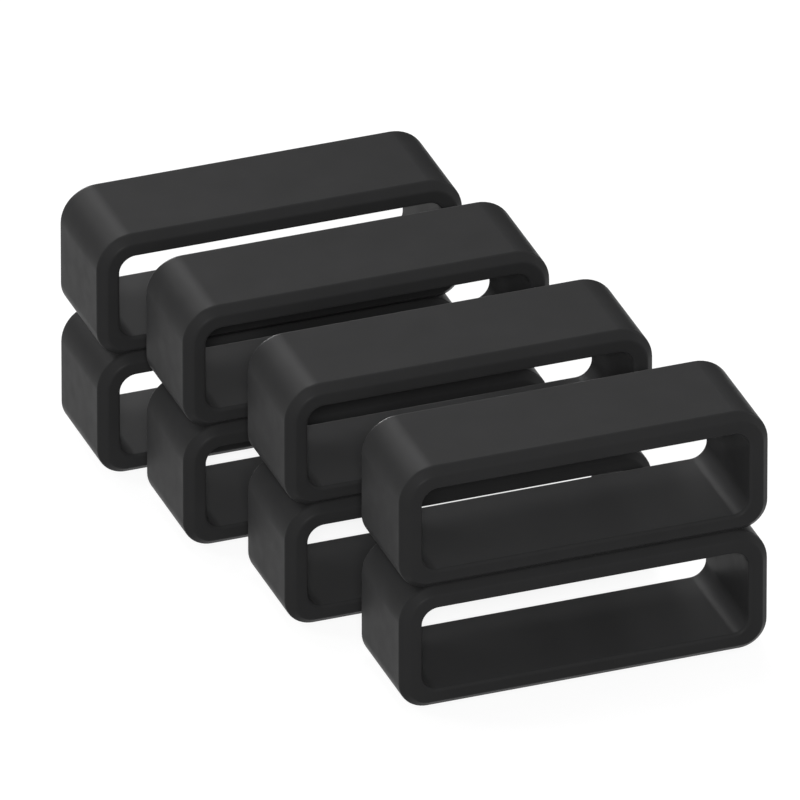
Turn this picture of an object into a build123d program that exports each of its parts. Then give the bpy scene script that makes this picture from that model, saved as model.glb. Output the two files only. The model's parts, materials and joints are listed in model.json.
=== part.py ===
from build123d import *
import os

# A set of free watch strap keepers. Each keeper is one loop of moulded silicone rubber that holds
# the loose end of a watch strap against the fixed part. The loops lie in pairs, one on the other,
# and the pairs stand in a slanting row.
# Lengths are in millimetres. +X runs across the strap, +Y along it, away from the front pair, and
# +Z is up. The origin is on the surface that the set stands on, below the middle of its outer box.

# The strap that a keeper goes round: its fixed part and its loose end lie on each other inside.
strap_width = 22.0
strap_thickness = 2.5
strap_layers = 2
strap_side_play = 0.25    # beside each edge of the strap
strap_height_play = 1.0   # over all its layers together

# One keeper
band_length = 8.15        # along the strap
side_wall = 1.45
top_wall = 1.48
bottom_wall = 1.39
top_corner_radius = 2.47
bottom_corner_radius = 1.93
end_bevel = 0.53          # the flat bevel round the outside of both ends
passage_corner_radius = 1.12
mouth_round = 0.25        # the round edge where the passage opens at both ends

# The row of pairs, from the front backwards: the clear space behind a pair, and how far to the
# left of it the next pair stands.
front_gap = 4.47
middle_gap = 3.78
rear_gap = 2.70
front_shift = 3.25
middle_shift = 2.70
rear_shift = 2.06

# What follows from these sizes
passage_width = strap_width + 2 * strap_side_play
passage_height = strap_layers * strap_thickness + strap_height_play
keeper_width = passage_width + 2 * side_wall
keeper_height = bottom_wall + passage_height + top_wall

# Each pair's name, its gap behind the pair in front of it, and its shift to the left
row_steps = (
    ("front", 0, 0),
    ("mid_front", front_gap, front_shift),
    ("mid_rear", middle_gap, middle_shift),
    ("rear", rear_gap, rear_shift),
)
row_length = len(row_steps) * band_length + sum(gap for name, gap, shift in row_steps)
row_width = keeper_width + sum(shift for name, gap, shift in row_steps)


def make_keeper(name, x, y, z):
    """One loop: a bevelled band with softer top corners, and the strap's passage through it.
    The middle of its underside is at x, y, z."""
    halfway = Plane(origin=(x, y, z), x_dir=(1, 0, 0), z_dir=(0, -1, 0))
    with BuildPart() as keeper:
        with BuildSketch(halfway) as outline:
            Rectangle(keeper_width, keeper_height, align=(Align.CENTER, Align.MIN))
            fillet(outline.vertices().group_by(Axis.Y)[-1], radius=top_corner_radius)
            fillet(outline.vertices().group_by(Axis.Y)[0], radius=bottom_corner_radius)
        extrude(amount=band_length / 2, both=True)
        chamfer(keeper.faces().filter_by(Axis.Y).edges(), length=end_bevel)

        with BuildSketch(halfway) as passage:
            with Locations((0, bottom_wall)):
                Rectangle(passage_width, passage_height, align=(Align.CENTER, Align.MIN))
            fillet(passage.vertices(), radius=passage_corner_radius)
        extrude(amount=band_length / 2, both=True, mode=Mode.SUBTRACT)
        mouths = [face.inner_wires()[0] for face in keeper.faces().filter_by(Axis.Y)]
        fillet([edge for mouth in mouths for edge in mouth.edges()], radius=mouth_round)
    keeper.part.label = name
    return keeper.part


def make_pair(pair_name, x, y):
    """Two keepers: the lower one on the ground and the upper one lying flat on it."""
    levels = (("lower", 0), ("upper", keeper_height))
    return [make_keeper(f"keeper_{pair_name}_{level}", x, y, z) for level, z in levels]


def make_row():
    """All the pairs, each placed from the one in front of it."""
    keepers = []
    x = (row_width - keeper_width) / 2
    y = -(row_length + band_length) / 2
    for pair_name, gap, shift in row_steps:
        x -= shift
        y += band_length + gap
        keepers += make_pair(pair_name, x, y)
    return keepers


os.makedirs("parts", exist_ok=True)
for keeper in make_row():
    export_step(keeper, f"parts/{keeper.label}.step")
    corner = keeper.bounding_box().min
    print(f"{keeper.label}: lowest corner at {corner.X:.3f}, {corner.Y:.3f}, {corner.Z:.3f}")
print(f"keeper {keeper_width:.2f} x {band_length:.2f} x {keeper_height:.2f}")
print(f"passage {passage_width:.2f} x {passage_height:.2f}")
print(f"row {row_width:.2f} x {row_length:.2f} x {2 * keeper_height:.2f}")
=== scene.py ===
# %% [markdown]
# # A set of watch strap keepers
#
# A free strap keeper is the small rubber loop that holds the loose end of a watch strap. Eight of
# them lie here in four stacked pairs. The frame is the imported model: it holds each keeper's solid
# at its real size and place. We build every mesh in the box of the solid that it stands for, so
# nothing has to be moved or scaled into place afterwards.

import json
import math
from collections import namedtuple

import bpy
import numpy as np
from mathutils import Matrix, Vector


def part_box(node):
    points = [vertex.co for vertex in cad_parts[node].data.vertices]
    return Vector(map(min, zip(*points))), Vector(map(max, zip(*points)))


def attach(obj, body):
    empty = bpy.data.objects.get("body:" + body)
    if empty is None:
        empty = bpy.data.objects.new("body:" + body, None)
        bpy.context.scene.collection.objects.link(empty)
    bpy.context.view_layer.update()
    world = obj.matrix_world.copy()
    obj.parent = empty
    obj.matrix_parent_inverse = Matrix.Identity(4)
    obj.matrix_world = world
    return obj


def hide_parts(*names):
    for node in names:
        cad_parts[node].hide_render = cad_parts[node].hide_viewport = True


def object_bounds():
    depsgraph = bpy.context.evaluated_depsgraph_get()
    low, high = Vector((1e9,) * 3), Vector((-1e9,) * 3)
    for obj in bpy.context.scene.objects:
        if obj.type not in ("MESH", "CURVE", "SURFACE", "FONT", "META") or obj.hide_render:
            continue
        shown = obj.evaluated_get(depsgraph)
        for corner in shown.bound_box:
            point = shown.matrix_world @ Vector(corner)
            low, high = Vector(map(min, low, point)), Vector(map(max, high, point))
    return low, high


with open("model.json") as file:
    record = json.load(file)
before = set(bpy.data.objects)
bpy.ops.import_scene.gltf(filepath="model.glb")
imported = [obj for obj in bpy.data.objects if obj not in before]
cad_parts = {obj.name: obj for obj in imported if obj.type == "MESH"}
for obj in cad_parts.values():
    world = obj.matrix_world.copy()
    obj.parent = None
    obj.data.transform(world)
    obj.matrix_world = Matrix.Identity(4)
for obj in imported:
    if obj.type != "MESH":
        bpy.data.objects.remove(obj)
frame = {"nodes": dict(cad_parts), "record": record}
cad_low, cad_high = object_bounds()
print("frame:", len(frame["nodes"]), "keepers in", [round(s, 4) for s in cad_high - cad_low], "m")

# %% [markdown]
# ## The sizes of one keeper
#
# All eight come out of one mould cavity, so one set of sizes serves them all. The outer box is read
# from the frame. What a box can't tell is named here, in metres: the walls, the corner radii, the
# flat bevel round both ends and the round edge where the passage opens. A mould never cuts a truly
# sharp edge, so the bevel's own two edges get a small radius too. It is this radius that lets one
# face fade into the next, as rubber does, instead of meeting it in a knife cut.

# %% The keeper's sizes, in metres
millimetre = 0.001
side_wall = 1.45 * millimetre
top_wall = 1.48 * millimetre
bottom_wall = 1.39 * millimetre
top_corner_radius = 2.47 * millimetre
bottom_corner_radius = 1.93 * millimetre
passage_corner_radius = 1.12 * millimetre
end_bevel = 0.53 * millimetre
mouth_round = 0.25 * millimetre
mould_edge_radius = 0.30 * millimetre

keeper_low, keeper_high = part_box("keeper_front_lower")
band_width, band_length, band_height = keeper_high - keeper_low
passage_width = band_width - 2 * side_wall
passage_height = band_height - top_wall - bottom_wall
print(f"keeper {band_width * 1000:.2f} x {band_length * 1000:.2f} x {band_height * 1000:.2f} mm,",
      f"passage {passage_width * 1000:.2f} x {passage_height * 1000:.2f} mm")

# %% [markdown]
# ## The two outlines
#
# Seen from the end, a keeper is two rounded rectangles, one inside the other. We could draw them as
# curves and let Blender fill and bevel them, but then Blender chooses the faces. Here we want rows
# of clean four-sided faces that run round the loop, so we make the outlines as plain lists of
# points. Each point also keeps the direction that faces straight out of the outline there. Moving
# every point the same distance along its direction gives a neat parallel outline, which is all that
# a bevel or a rounded edge needs.

# %% Points round a rounded rectangle
right_angle = 90
corner_steps = 12
long_side_steps = 10
short_side_steps = 3


def rounded_outline(width, bottom, top, bottom_radius, top_radius):
    """Points (x, z) round the outline and the directions that face out of it, one row each."""
    corners = (
        (width / 2 - bottom_radius, bottom + bottom_radius, bottom_radius, short_side_steps),
        (width / 2 - top_radius, top - top_radius, top_radius, long_side_steps),
        (top_radius - width / 2, top - top_radius, top_radius, short_side_steps),
        (bottom_radius - width / 2, bottom + bottom_radius, bottom_radius, long_side_steps),
    )
    arcs = []
    for quarter, (x, z, radius, side_steps) in enumerate(corners, start=-1):
        start, stop = quarter * right_angle, (quarter + 1) * right_angle
        turn = np.radians(np.linspace(start, stop, corner_steps + 1))
        facing = np.stack([np.cos(turn), np.sin(turn)], axis=1)
        arcs.append((np.array([x, z]) + radius * facing, facing, side_steps))

    points, directions = [], []
    for (arc, facing, side_steps), (next_arc, _, _) in zip(arcs, arcs[1:] + arcs[:1]):
        share = np.linspace(0, 1, side_steps + 1)[1:-1, None]
        straight = arc[-1] * (1 - share) + next_arc[0] * share
        points += [arc, straight]
        directions += [facing, np.repeat(facing[-1:], len(straight), axis=0)]
    return np.concatenate(points), np.concatenate(directions)


outer_outline = rounded_outline(band_width, 0, band_height, bottom_corner_radius, top_corner_radius)
passage_outline = rounded_outline(passage_width, bottom_wall, band_height - top_wall,
                                  passage_corner_radius, passage_corner_radius)
points_round = len(outer_outline[0])
print("points round each outline:", points_round, len(passage_outline[0]))

# %% [markdown]
# ## One end of the wall's section
#
# Cut the loop anywhere and the wall shows the same section: flat outside, bevelled at both ends,
# flat on the end faces, rounded into the passage. A Bevel modifier could round these edges, but it
# would also choose the points for us, so we walk round the section ourselves, one end first. Each
# step says which outline it follows, how far out of that outline it lies, how far along the band,
# and which way the surface faces there. The rounded edges are arcs, so a cosine and a sine say both
# where the step is and where it faces. The bevel is as deep as it is wide, so the surface turns
# half of a right angle onto it and the other half onto the end face. Two marks go with each step,
# and the material will read them: one for the moulded edges, and one for the painted light on the
# passage's wall, which fades in over the round mouth.

# %% Steps round the back end
edge_steps = 3
mouth_steps = 6
bevel_turn = right_angle / 2
Step = namedtuple("Step", "outline out along face_out face_along moulded_edge inside_wall")


def back_end_steps():
    """The steps round the back end: outside edge, bevel, end face and mouth."""
    half = band_length / 2
    tangent = mould_edge_radius * math.tan(math.radians(bevel_turn / 2))
    edges = (
        (-mould_edge_radius, half - end_bevel - tangent, 0, bevel_turn),
        (-end_bevel - tangent, half - mould_edge_radius, bevel_turn, right_angle),
    )
    steps = []
    for out, along, start, stop in edges:
        for turn in np.radians(np.linspace(start, stop, edge_steps + 1)):
            c, s = math.cos(turn), math.sin(turn)
            steps.append(Step(outer_outline, out + mould_edge_radius * c, along + mould_edge_radius * s,
                              c, s, moulded_edge=1.0, inside_wall=0.0))
    # The mouth's steps carry the passage's painted light, from none on the end face to full on the
    # wall.
    for share in np.linspace(0, 1, mouth_steps + 1):
        c, s = -math.sin(share * math.pi / 2), math.cos(share * math.pi / 2)
        steps.append(Step(passage_outline, mouth_round * (1 + c), half - mouth_round * (1 - s),
                          c, s, moulded_edge=0.0, inside_wall=share ** 2))
    return steps


print("steps round the back end:", len(back_end_steps()))

# %% [markdown]
# ## The whole section
#
# The loop's two ends are alike, so the front end is the back end seen in a mirror: the same steps,
# walked the other way, with everything along the band turned round. Between the ends lie the two
# straight stretches, the passage's wall and the outside. One long face from end to end would do for
# each, but a few steps more keep the faces closer to squares.

# %% Steps round the whole section
wall_steps = 6


def section_steps():
    """The whole section: the back end, the passage's wall, the front end and the outside."""
    back = back_end_steps()
    front = [step._replace(along=-step.along, face_along=-step.face_along) for step in reversed(back)]
    shares = np.linspace(1, -1, wall_steps + 1)[1:-1]
    passage = [back[-1]._replace(along=share * back[-1].along) for share in shares]
    outside = [back[0]._replace(along=-share * back[0].along, moulded_edge=0.0) for share in shares]
    return back + passage + front + outside


section = section_steps()
print("steps round the wall's section:", len(section))

# %% [markdown]
# ## From two outlines to a mesh
#
# Every step of the section, carried round its outline, is a ring of points. Neighbouring rings have
# the same number of points, so four-sided faces join them one to one, and the last ring joins the
# first: the mesh closes by itself, with no cap and no stray face. Because we know exactly which way
# the surface faces at every point, we hand these directions to Blender as custom normals. The flats
# then shade truly flat and the small radii truly round, without a dense mesh.

# %% Make one keeper's mesh
def ring_at(step):
    """The places of one ring's points and the directions that they face."""
    points, directions = step.outline
    places = points + step.out * directions
    facings = step.face_out * directions
    return (np.insert(places, 1, step.along, axis=1), np.insert(facings, 1, step.face_along, axis=1))


def ring_faces():
    """Four-sided faces between each ring and the next, and between the last and the first."""
    rings = np.arange(len(section))[:, None] * points_round
    after = np.roll(rings, -1, axis=0)
    here = np.arange(points_round)
    there = np.roll(here, -1)
    corners = [rings + here, after + here, after + there, rings + there]
    return np.stack(corners, axis=-1).reshape(-1, 4)


def keeper_mesh(name, foot):
    """A closed loop of rubber with the middle of its underside at foot."""
    places, facings = zip(*(ring_at(step) for step in section))
    mesh = bpy.data.meshes.new(name)
    mesh.from_pydata((np.concatenate(places) + foot).tolist(), [], ring_faces().tolist())
    mesh.shade_smooth()
    mesh.normals_split_custom_set_from_vertices(np.concatenate(facings).tolist())
    # One mark is for the moulded edges, the other is the share of painted light on the passage's wall.
    for mark in ("moulded_edge", "inside_wall"):
        values = np.repeat([getattr(step, mark) for step in section], points_round)
        mesh.attributes.new(mark, "FLOAT", "POINT").data.foreach_set("value", values)
    return mesh


print("faces on each keeper:", len(ring_faces()))

# %% [markdown]
# ## Helpers for a material
#
# A Blender material is a tree of nodes. Made by hand in the editor it is quick to see but hard to
# repeat, so we write it in code, with four short helpers. One adds a node with its settings and
# links. One makes soft noise of a size in metres. One spreads a value over a range: Blender's noise
# seldom leaves the stretch from 0.3 to 0.7, so this stretch is spread unless we name another. One
# blends two colours. The Mix node has its two inputs several times under the same names, for
# numbers, vectors and colours, so the colour ones are picked by number.

# %% Make and link nodes
soft_detail = 2.0
noise_low, noise_high = 0.3, 0.7
first_colour_input, second_colour_input, colour_output = 6, 7, 2


def add_node(tree, kind, inputs=None, **settings):
    """A shader node with its settings made and its inputs set or linked."""
    node = tree.nodes.new(kind)
    for setting, value in settings.items():
        setattr(node, setting, value)
    for name, value in (inputs or {}).items():
        if isinstance(value, bpy.types.NodeSocket):
            tree.links.new(value, node.inputs[name])
        else:
            node.inputs[name].default_value = value
    return node


def noise(tree, where, size, detail=soft_detail):
    """Soft noise whose blots are about this size, in metres."""
    return add_node(tree, "ShaderNodeTexNoise",
                    {"Vector": where, "Scale": 1 / size, "Detail": detail}).outputs["Fac"]


def spread(tree, value, low, high, from_low=noise_low, from_high=noise_high):
    """The value's stretch between from_low and from_high, spread from low to high."""
    return add_node(tree, "ShaderNodeMapRange",
                    {"Value": value, "From Min": from_low, "From Max": from_high,
                     "To Min": low, "To Max": high}).outputs["Result"]


def blend_colours(tree, share, first, second):
    """The first colour where share is 0, the second where it is 1."""
    mix = add_node(tree, "ShaderNodeMix", data_type="RGBA")
    tree.links.new(share, mix.inputs[0])
    for number, colour in ((first_colour_input, first), (second_colour_input, second)):
        if isinstance(colour, bpy.types.NodeSocket):
            tree.links.new(colour, mix.inputs[number])
        else:
            mix.inputs[number].default_value = colour
    return mix.outputs[colour_output]


print("node helpers ready")

# %% [markdown]
# ## Black silicone
#
# The keepers are matte black silicone rubber. Black rubber is not a black hole: its own colour is a
# very dark grey, and it drifts a little over the faces. The moulded edges are a touch lighter,
# because fingers and the strap rub them first. The passage's wall gets painted light: it is coloured
# lighter grey to stand in for the light that the neighbouring pairs keep out of the passages. A
# picture of rubber could be wrapped round each keeper, but it would stretch at the corners. Noise has
# a real size instead and follows any shape, and the two marks on the mesh say where the edges and
# the painted passage light are.

# %% The silicone's colour
rubber_dark = (0.0202, 0.0202, 0.0205, 1)
rubber_light = (0.0232, 0.0232, 0.0236, 1)
rubber_rubbed = (0.0232, 0.0232, 0.0236, 1)
# Painted light: the passage's wall is coloured lighter, standing in for light the neighbouring pairs
# keep out.
rubber_painted_passage_light = (0.0370, 0.0370, 0.0375, 1)
rubbed_share = 0.5


def rubber_colour(tree, drift, edge, passage_light_share):
    """Dark grey that drifts a little, rubbed lighter on the edges, with painted light on the passage's
    wall.
    """
    uneven = blend_colours(tree, spread(tree, drift, 0, 1), rubber_dark, rubber_light)
    edge_share = spread(tree, edge, 0, rubbed_share, from_low=0, from_high=1)
    rubbed = blend_colours(tree, edge_share, uneven, rubber_rubbed)
    return blend_colours(tree, passage_light_share, rubbed, rubber_painted_passage_light)


# The upper value is the passage's painted light, not the rubber's own colour.
print("the rubber reflects", rubber_dark[0], "to", rubber_painted_passage_light[0], "of the light")

# %% [markdown]
# ## How softly the rubber mirrors
#
# What the eye reads on black rubber is mostly how softly the surface spreads reflections. A coat or
# a sheen layer could be laid over it for this, but moulded silicone has neither, so the shader's
# own mirror part does it, kept weak and wide. Its width, the roughness, drifts a little over the
# faces, and the rubbed edges are a touch smoother.

# %% The silicone's roughness
flat_roughness = 0.39
roughness_drift = 0.03
edge_smoothing = 0.02
mirror_level = 0.03


def rubber_roughness(tree, flow, edge):
    """The flats' roughness, which follows the flow, less a little on the moulded edges."""
    flats = spread(tree, flow, flat_roughness - roughness_drift, flat_roughness + roughness_drift)
    smoother = add_node(tree, "ShaderNodeMath", operation="MULTIPLY_ADD")
    tree.links.new(edge, smoother.inputs[0])
    smoother.inputs[1].default_value = -edge_smoothing
    tree.links.new(flats, smoother.inputs[2])
    return smoother.outputs[0]


print("roughness of the flats:", flat_roughness, "give or take", roughness_drift)

# %% [markdown]
# ## The etched grain, and the whole material
#
# The mould was etched, which leaves a fine grain a few thousandths of a millimetre high, on a slower
# flow. Cut into the mesh, a grain this fine would need millions of faces. Two Bump nodes, one on
# the other, tilt the light in the same way without moving a point. With the colour and the
# roughness from above they make the whole material.

# %% Make the silicone
drift_size = 3.5 * millimetre
flow_size = 1.3 * millimetre
flow_height = 0.002 * millimetre
grain_size = 0.10 * millimetre
grain_height = 0.004 * millimetre
grain_detail = 3.0
bump_strength = 0.5


def make_silicone():
    """Matte black moulded silicone rubber."""
    material = bpy.data.materials.new("black_silicone")
    material.use_nodes = True
    tree = material.node_tree
    where = add_node(tree, "ShaderNodeTexCoord").outputs["Object"]
    edge = add_node(tree, "ShaderNodeAttribute", attribute_name="moulded_edge").outputs["Fac"]
    # The share of painted light on the passage's wall is read from its mark on the mesh.
    passage_light_share = add_node(tree, "ShaderNodeAttribute", attribute_name="inside_wall").outputs["Fac"]
    drift = noise(tree, where, drift_size)
    flow = noise(tree, where, flow_size)
    grain = noise(tree, where, grain_size, grain_detail)
    soft = add_node(tree, "ShaderNodeBump",
                    {"Height": flow, "Distance": flow_height, "Strength": bump_strength})
    fine = add_node(tree, "ShaderNodeBump",
                    {"Height": grain, "Distance": grain_height, "Strength": bump_strength,
                     "Normal": soft.outputs[0]})

    shader = tree.nodes["Principled BSDF"]
    tree.links.new(rubber_colour(tree, drift, edge, passage_light_share), shader.inputs["Base Color"])
    tree.links.new(rubber_roughness(tree, flow, edge), shader.inputs["Roughness"])
    tree.links.new(fine.outputs[0], shader.inputs["Normal"])
    shader.inputs["Specular IOR Level"].default_value = mirror_level
    return material


silicone = make_silicone()
print("silicone made with", len(silicone.node_tree.nodes), "nodes")

# %% [markdown]
# ## The eight keepers
#
# Each keeper takes the place of its solid in the frame: the mesh is built where the frame's box
# stands, rides on the same body, and the solid is hidden. We could make one mesh and place it eight
# times, but then all eight would carry the same grain. Built each in its own place, they cut the
# noise at eight places, and no two are quite alike.

# %% Put a keeper on every node
for body, nodes in frame["record"]["behaviour"]["bodies"].items():
    for node in nodes:
        low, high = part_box(node)
        foot = ((low.x + high.x) / 2, (low.y + high.y) / 2, low.z)
        name = node.replace("keeper_", "silicone_keeper_")
        keeper = bpy.data.objects.new(name, keeper_mesh(name, foot))
        bpy.context.scene.collection.objects.link(keeper)
        keeper.data.materials.append(silicone)
        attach(keeper, body)
        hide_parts(node)

# %% [markdown]
# ## White to look at, grey to be lit by
#
# Pictures of small black goods are taken on white. If we made the floor white by pouring light on
# it, that light would also grey the rubber. Instead the floor and the sky give two answers: white
# to the camera, and grey to the rays that gather light for the keepers. Rays that a reflection
# sends out get the white too, because a glossy thing has to mirror what is seen. A Light Path node
# knows which ray is asking, and a Mix Shader node picks the answer.

# %% Helpers for the two answers
def seen_directly(tree):
    """1 for what the camera sees itself, in a reflection or through glass, and 0 for other light."""
    ray = add_node(tree, "ShaderNodeLightPath").outputs
    first = add_node(tree, "ShaderNodeMath", operation="MAXIMUM")
    both = add_node(tree, "ShaderNodeMath", operation="MAXIMUM")
    tree.links.new(ray["Is Camera Ray"], first.inputs[0])
    tree.links.new(ray["Is Glossy Ray"], first.inputs[1])
    tree.links.new(first.outputs[0], both.inputs[0])
    tree.links.new(ray["Is Transmission Ray"], both.inputs[1])
    return both.outputs[0]


def mix_shaders(tree, share, first, second):
    """The first shader where share is 0, the second where it is 1."""
    mix = add_node(tree, "ShaderNodeMixShader")
    tree.links.new(share, mix.inputs[0])
    tree.links.new(first, mix.inputs[1])
    tree.links.new(second, mix.inputs[2])
    return mix.outputs[0]


print("helpers for the two answers ready")

# %% [markdown]
# ## The floor
#
# The keepers lie on a plain white sheet, far wider than the picture, so that no edge of it shows.
# For the camera a glow gives most of its white, and a diffuse part on top listens to the lamps, so
# that the keepers keep a soft contact shadow. The glow is only there to be looked at, so Cycles is
# told not to aim light rays at it.

# %% Lay the floor
floor_half_width = 1.5
floor_bounce = (0.45, 0.45, 0.45, 1)
floor_base_white = 0.86
floor_shaded_white = (0.22, 0.22, 0.22, 1)


def empty_material(name):
    """A new material with an empty tree."""
    material = bpy.data.materials.new(name)
    material.use_nodes = True
    material.node_tree.nodes.clear()
    return material


def make_floor():
    """A wide pale floor that looks white and keeps a soft shadow."""
    bpy.ops.mesh.primitive_plane_add(size=2 * floor_half_width)
    floor = bpy.context.object
    floor.name = "floor"
    material = empty_material("white_floor")
    tree = material.node_tree
    glow = add_node(tree, "ShaderNodeEmission", {"Strength": floor_base_white})
    shaded = add_node(tree, "ShaderNodeBsdfDiffuse", {"Color": floor_shaded_white})
    seen = add_node(tree, "ShaderNodeAddShader")
    tree.links.new(glow.outputs[0], seen.inputs[0])
    tree.links.new(shaded.outputs[0], seen.inputs[1])
    plain = add_node(tree, "ShaderNodeBsdfDiffuse", {"Color": floor_bounce})
    surface = mix_shaders(tree, seen_directly(tree), plain.outputs[0], seen.outputs[0])
    add_node(tree, "ShaderNodeOutputMaterial", {"Surface": surface})
    material.cycles.emission_sampling = "NONE"
    floor.data.materials.append(material)


make_floor()
print("floor", 2 * floor_half_width, "m wide")

# %% [markdown]
# ## The room
#
# In a pale studio a little soft light comes from all sides. We could build its walls, but Blender's
# world does the same with no faces at all. It gives the two answers too: plain white where the
# camera sees it, and a quarter of that to light the keepers.

# %% Light the room
white = (1, 1, 1, 1)
sky_strength = 1.0
room_strength = 0.25


def make_room():
    """White all round for the camera, and a soft even light for the keepers."""
    world = bpy.data.worlds.new("room")
    world.use_nodes = True
    tree = world.node_tree
    tree.nodes.clear()
    soft = add_node(tree, "ShaderNodeBackground", {"Color": white, "Strength": room_strength})
    seen = add_node(tree, "ShaderNodeBackground", {"Color": white, "Strength": sky_strength})
    surface = mix_shaders(tree, seen_directly(tree), soft.outputs[0], seen.outputs[0])
    add_node(tree, "ShaderNodeOutputWorld", {"Surface": surface})
    bpy.context.scene.world = world


make_room()
print("room light", room_strength)

# %% [markdown]
# ## The lamps
#
# In the photograph each flat face has one even tone: the left ends are the lightest, the tops come
# next and the end faces with their openings are dark. Light that is the same over a whole face
# comes from far away. An area lamp close by would fade across it, so we use sun lamps. Their angle
# makes them soft: a wide sun acts like a big cloth screen far off. The one in front stands right
# behind the camera and is the narrowest, so that it reaches whatever the camera sees, also deep
# between the pairs. It lights the end faces and their bevels. Four stand behind. A low one shines
# through the passages and along their floors, and two brighten the tops and the left ends. The
# fourth, the corner screen, draws the light stripe along each rounded left corner: it stands where
# the upper part of that corner mirrors it to the camera. One on the right keeps that side from
# going black.

# %% Place the lamps
lamps = (
    # name, compass angle it comes from (0 is the front, 90 the right), height angle, strength, width
    ("front_screen", -20, 30, 2.08, 8),
    ("low_back_screen", 180, 5, 2.65, 20),
    ("corner_screen", 177, 31, 0.43, 18),
    ("back_left_screen", -130, 35, 0.58, 20),
    ("high_back_screen", 180, 70, 0.79, 20),
    ("right_screen", 100, 15, 0.60, 20),
)


def direction_from(compass, height):
    """The direction that points from the keepers to a lamp or to the camera."""
    turn, rise = math.radians(compass), math.radians(height)
    return Vector((math.sin(turn) * math.cos(rise), -math.cos(turn) * math.cos(rise), math.sin(rise)))


for name, compass, height, strength, width in lamps:
    light = bpy.data.lights.new(name, "SUN")
    light.energy = strength
    light.angle = math.radians(width)
    lamp = bpy.data.objects.new(name, light)
    lamp.rotation_euler = direction_from(compass, height).to_track_quat("Z", "Y").to_euler()
    bpy.context.scene.collection.objects.link(lamp)
    print(name, "from", compass, "degrees, height", height)

# %% [markdown]
# ## A dark card
#
# White on all sides would edge the round right-hand corners with a bright line, because rubber
# mirrors most where we look along it. In the photograph these corners end dark. Photographers of
# black goods on white stand a dark card just outside the picture for this, and so do we: it is at
# the back on the right, where those corners look. Only reflections meet it: it throws no shadow, and
# the camera does not see it.

# %% Stand the card
card_compass = 138
card_distance = 0.078
card_width, card_height = 0.090, 0.050
card_grey = (0.05, 0.05, 0.05, 1)


def make_card():
    """A dark upright card that only reflections meet."""
    bpy.ops.mesh.primitive_plane_add(size=1)
    card = bpy.context.object
    card.name = "dark_card"
    card.scale = (card_width, card_height, 1)
    upright = direction_from(card_compass, 0)
    card.location = upright * card_distance + Vector((0, 0, card_height / 2))
    card.rotation_euler = upright.to_track_quat("Z", "Y").to_euler()
    card.visible_camera = False
    card.visible_diffuse = False
    card.visible_shadow = False
    material = empty_material("dark_card")
    dark = add_node(material.node_tree, "ShaderNodeBsdfDiffuse", {"Color": card_grey})
    add_node(material.node_tree, "ShaderNodeOutputMaterial", {"Surface": dark.outputs[0]})
    card.data.materials.append(material)


make_card()
print("card", card_distance, "m away, compass", card_compass)

# %% [markdown]
# ## The camera
#
# In the photograph all edges that run one way are parallel, so it was taken from far away with a
# very long lens, and we do the same. An orthographic camera would draw exact parallels, but it keeps
# the width of its frame when it moves round the set, and the longer views would be cropped. The
# viewing angles were measured from the slopes of the edges. The picture's scale and the place of
# the set's middle in it then say where the camera stands. Its clipping leaves out what is nearer
# than half that distance or farther than twice, where nothing stands that we want to see.

# %% Set up the camera
camera_compass = -20.12
camera_height = 29.63
lens_millimetres = 1500
sensor_millimetres = 36
picture_pixels = 800
pixels_per_metre = 15370
set_middle_pixels = (412.1, 415.7)

camera_data = bpy.data.cameras.new("camera")
camera_data.lens = lens_millimetres
camera_data.sensor_width = sensor_millimetres
camera = bpy.data.objects.new("camera", camera_data)
bpy.context.scene.collection.objects.link(camera)

towards_camera = direction_from(camera_compass, camera_height)
turned = towards_camera.to_track_quat("Z", "Y")
right, up = turned @ Vector((1, 0, 0)), turned @ Vector((0, 1, 0))
distance = picture_pixels / pixels_per_metre * lens_millimetres / sensor_millimetres
aim = (cad_low + cad_high) / 2
aim += right * (picture_pixels / 2 - set_middle_pixels[0]) / pixels_per_metre
aim -= up * (picture_pixels / 2 - set_middle_pixels[1]) / pixels_per_metre
camera.location = aim + towards_camera * distance
camera.rotation_euler = turned.to_euler()
camera_data.clip_start = distance / 2
camera_data.clip_end = distance * 2
bpy.context.scene.camera = camera
print(f"camera {distance:.2f} m away")

# %% [markdown]
# ## Colours as they are written
#
# Blender can bend a picture's tones to look like film. A part for a library has to show the colours
# that its materials hold, so the plain Standard view is set and nothing else is touched.

# %% Set the plain view
bpy.context.scene.view_settings.view_transform = "Standard"
print("view:", bpy.context.scene.view_settings.view_transform)
